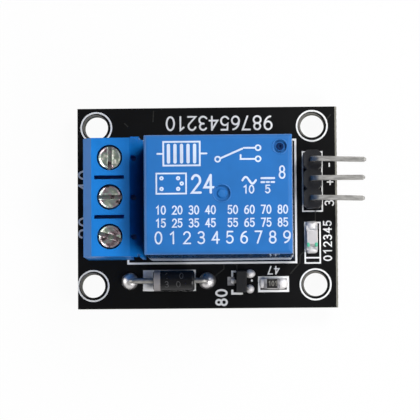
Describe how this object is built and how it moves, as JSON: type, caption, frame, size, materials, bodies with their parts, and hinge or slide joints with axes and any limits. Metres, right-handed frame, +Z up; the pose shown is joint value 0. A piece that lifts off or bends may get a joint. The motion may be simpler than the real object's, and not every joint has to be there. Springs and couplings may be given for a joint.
{
  "type": "relay module board",
  "caption": "Black circuit board with a blue sealed relay, a blue screw terminal block, an angled pin header and a few small parts.",
  "frame": {"origin": "middle of the whole object's footprint, in the plane of the cut pin tips that it stands on", "axes": "+X from the terminal block to the header and its pins, +Y across the board towards the two holes nearest the relay's vent, +Z up off the board"},
  "size_m": [0.038, 0.0264, 0.0188],
  "materials": {
    "black_solder_mask": "glossy solder mask over glass-fibre laminate",
    "relay_blue": "satin moulded plastic",
    "terminal_blue": "satin moulded plastic",
    "black_moulding": "moulded black plastic",
    "black_epoxy": "matt moulding compound",
    "sealing_resin": "poured resin",
    "bobbin_plastic": "moulded plastic",
    "white_laminate": "white laminate",
    "white_ceramic": "ceramic",
    "black_glaze": "fired glaze",
    "clear_epoxy": "clear moulded epoxy",
    "copper_wire": "enamelled copper winding",
    "contact_bronze": "spring bronze strip",
    "contact_silver": "silver contact",
    "relay_iron": "soft iron, plated",
    "zinc_screw": "zinc-plated steel with slight rainbow passivation",
    "plated_brass": "tin-plated brass",
    "tinned_pin": "tin-plated pin",
    "solder": "bright solder"
  },
  "bodies": {
    "module": {"circuit_board": "black_solder_mask", "relay_case": "relay_blue", "relay_base": "black_moulding", "relay_sealant": "sealing_resin", "relay_coil_pins": "tinned_pin", "relay_common_pin": "tinned_pin", "relay_make_strip": "contact_bronze", "relay_break_strip": "contact_bronze", "relay_make_contact": "contact_silver", "relay_break_contact": "contact_silver", "relay_yoke": "relay_iron", "relay_core": "relay_iron", "relay_bobbin": "bobbin_plastic", "relay_winding": "copper_wire", "terminal_housing": "terminal_blue", "clamp_frame_1": "plated_brass", "clamp_frame_2": "plated_brass", "clamp_frame_3": "plated_brass", "header_body": "black_moulding", "header_pin_1": "tinned_pin", "header_pin_2": "tinned_pin", "header_pin_3": "tinned_pin", "lamp_base": "white_laminate", "lamp_lens": "clear_epoxy", "lamp_ends": "tinned_pin", "diode_body": "black_epoxy", "diode_leads": "tinned_pin", "transistor_body": "black_epoxy", "transistor_leads": "tinned_pin", "resistor_body": "white_ceramic", "resistor_glaze": "black_glaze", "resistor_ends": "solder", "relay_solder": "solder", "terminal_solder": "solder", "header_solder": "solder", "diode_solder": "solder", "lamp_solder": "solder", "transistor_solder": "solder", "resistor_solder": "solder"},
    "armature": {"relay_armature": "relay_iron", "relay_contact_spring": "contact_bronze", "relay_moving_contact": "contact_silver"},
    "guard_1": {"wire_guard_1": "plated_brass"},
    "screw_1": {"terminal_screw_1": "zinc_screw"},
    "guard_2": {"wire_guard_2": "plated_brass"},
    "screw_2": {"terminal_screw_2": "zinc_screw"},
    "guard_3": {"wire_guard_3": "plated_brass"},
    "screw_3": {"terminal_screw_3": "zinc_screw"}
  },
  "joints": [
    {"name": "armature_hinge", "type": "hinge", "parent": "module", "child": "armature", "pos_m": [0.0077, 0.00065, 0.0141], "axis": [0, -1, 0], "range_deg": [0, 3], "stiffness_Nm_per_rad": 0.02, "springref_deg": -5.73},
    {"name": "guard_1_lower", "type": "slide", "parent": "module", "child": "guard_1", "axis": [0, 0, -1], "range_m": [0, 0.0018]},
    {"name": "screw_1_turn", "type": "hinge", "parent": "guard_1", "child": "screw_1", "pos_m": [-0.01405, 0.00588, 0.0135], "axis": [0, 0, -1], "range_deg": [0, 1440]},
    {"name": "guard_2_lower", "type": "slide", "parent": "module", "child": "guard_2", "axis": [0, 0, -1], "range_m": [0, 0.0018]},
    {"name": "screw_2_turn", "type": "hinge", "parent": "guard_2", "child": "screw_2", "pos_m": [-0.01405, 0.0008, 0.0135], "axis": [0, 0, -1], "range_deg": [0, 1440]},
    {"name": "guard_3_lower", "type": "slide", "parent": "module", "child": "guard_3", "axis": [0, 0, -1], "range_m": [0, 0.0018]},
    {"name": "screw_3_turn", "type": "hinge", "parent": "guard_3", "child": "screw_3", "pos_m": [-0.01405, -0.00428, 0.0135], "axis": [0, 0, -1], "range_deg": [0, 1440]}
  ],
  "couplings": [
    {"joint": "screw_1_turn", "follows": "guard_1_lower", "rad_per_m": 13963},
    {"joint": "screw_2_turn", "follows": "guard_2_lower", "rad_per_m": 13963},
    {"joint": "screw_3_turn", "follows": "guard_3_lower", "rad_per_m": 13963}
  ]
}
